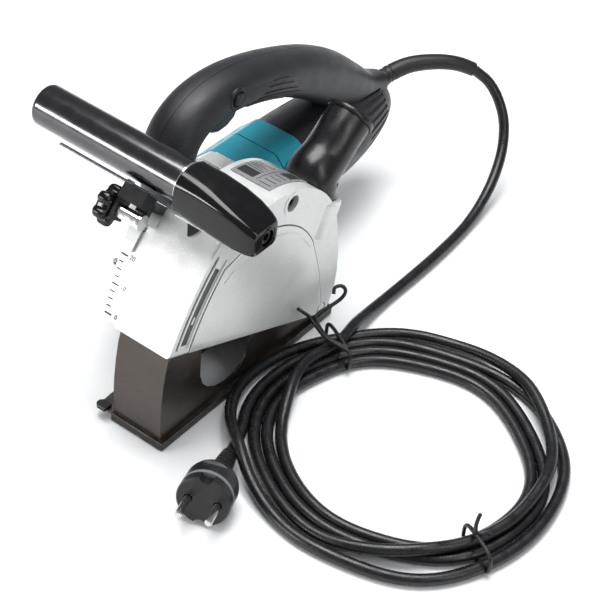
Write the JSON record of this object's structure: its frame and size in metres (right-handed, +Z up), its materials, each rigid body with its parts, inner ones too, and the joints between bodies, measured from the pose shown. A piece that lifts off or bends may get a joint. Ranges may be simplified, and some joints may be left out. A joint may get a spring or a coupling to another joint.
{
  "type": "wall chaser",
  "caption": "Corded twin-wheel wall chaser, wheels off, with a sprung swinging base, depth stop, dust nozzle, D-handle, front grip, coiled cord and plug.",
  "frame": {"origin": "middle of the box round the tool without its cord, at the underside of the sole", "axes": "+Z up out of the wall face that the sole rests on; -Y the way the tool cuts; X along the wheel axle, +X the side away from the motor"},
  "size_m": [0.3721, 0.4666, 0.1908],
  "materials": {
    "silver_paint": "silver-white enamel on cast aluminium",
    "cast_aluminium": "bare casting, fine grain",
    "teal_plastic": "teal moulded plastic",
    "black_plastic": "matte black moulded plastic",
    "gloss_black": "glossy black",
    "steel": "machined steel",
    "base_steel": "dark grey-brown painted sheet steel",
    "black_steel": "black oxide with worn edges",
    "copper": "copper",
    "carbon": "pressed carbon",
    "brass": "bare brass",
    "rubber": "matte black rubber",
    "label": "plain foil plate"
  },
  "bodies": {
    "tool_body": {"wheel_cover": "silver_paint", "side_plate": "silver_paint", "side_plate_screw": "black_steel", "grip_bolt": "black_steel", "grip_stay": "black_steel", "label_plate": "label", "sight_pointer": "black_plastic", "fan_baffle": "black_plastic", "handle_left": "black_plastic", "handle_right": "black_plastic", "switch_body": "black_plastic", "dust_nozzle": "black_plastic", "nozzle_ring": "black_plastic", "pivot_pin": "steel", "return_spring": "steel", "grip_core": "steel", "spindle_bearing": "steel", "needle_bearing": "steel", "front_motor_bearing": "steel", "rear_motor_bearing": "steel", "field_stator": "steel", "grip_plate": "cast_aluminium", "gear_housing": "cast_aluminium", "front_grip_tube": "gloss_black", "grip_arm": "gloss_black", "brush_holder_right": "brass", "brush_holder_left": "brass", "plug_pin_right": "brass", "plug_pin_left": "brass", "carbon_brush_right": "carbon", "carbon_brush_left": "carbon", "motor_housing": "teal_plastic", "cord_guard": "rubber", "cord": "rubber", "cord_coil": "rubber", "plug": "rubber", "tie_front": "rubber", "tie_rear": "rubber"},
    "base": {"base_shoe": "base_steel", "sole_plate": "black_steel", "base_tab": "black_plastic"},
    "depth_stop": {"stop_block": "black_plastic", "depth_pointer": "cast_aluminium", "clamp_bolt": "steel"},
    "clamp_knob_body": {"clamp_knob": "black_plastic"},
    "spindle_body": {"spindle": "steel", "bevel_gear": "steel", "inner_flange": "steel", "spacer_ring": "steel", "lock_nut": "steel"},
    "armature": {"armature_shaft": "steel", "bevel_pinion": "steel", "armature_core": "copper", "commutator": "copper", "cooling_fan": "black_plastic"},
    "trigger_body": {"trigger": "black_plastic"},
    "lock_on_body": {"lock_on_button": "black_plastic"},
    "shaft_lock_body": {"shaft_lock_button": "black_plastic"}
  },
  "joints": [
    {"name": "base_swing", "type": "hinge", "parent": "tool_body", "child": "base", "pos_m": [0.04025, -0.03394, 0.015], "axis": [-1, 0, 0], "range_deg": [0, 23.5], "stiffness_Nm_per_rad": 10, "springref_deg": -28.65},
    {"name": "depth_stop_turn", "type": "hinge", "parent": "tool_body", "child": "depth_stop", "pos_m": [0.04025, -0.03394, 0.015], "axis": [1, 0, 0], "range_deg": [0, 20.5]},
    {"name": "clamp_knob_turn", "type": "hinge", "parent": "depth_stop", "child": "clamp_knob_body", "pos_m": [-0.00975, -0.17443, 0.14351], "axis": [1, 0, 0], "range_deg": [0, 180]},
    {"name": "spindle_turn", "type": "hinge", "parent": "tool_body", "child": "spindle_body", "pos_m": [0.04025, -0.10794, 0.066], "axis": [1, 0, 0], "continuous": true},
    {"name": "armature_turn", "type": "hinge", "parent": "tool_body", "child": "armature", "pos_m": [-0.01975, -0.10794, 0.066], "axis": [0, 1, 0], "continuous": true},
    {"name": "trigger_press", "type": "hinge", "parent": "tool_body", "child": "trigger_body", "pos_m": [-0.01975, -0.07894, 0.163], "axis": [1, 0, 0], "range_deg": [0, 7], "stiffness_Nm_per_rad": 0.6, "springref_deg": -11.46},
    {"name": "lock_on_press", "type": "slide", "parent": "tool_body", "child": "lock_on_body", "axis": [-1, 0, 0], "range_m": [0, 0.0025], "stiffness_N_per_m": 400, "springref_m": -0.003},
    {"name": "shaft_lock_press", "type": "slide", "parent": "tool_body", "child": "shaft_lock_body", "axis": [0, 1, 0], "range_m": [0, 0.0025], "stiffness_N_per_m": 600, "springref_m": -0.003}
  ],
  "couplings": [
    {"joint": "armature_turn", "follows": "spindle_turn", "ratio": -3}
  ]
}
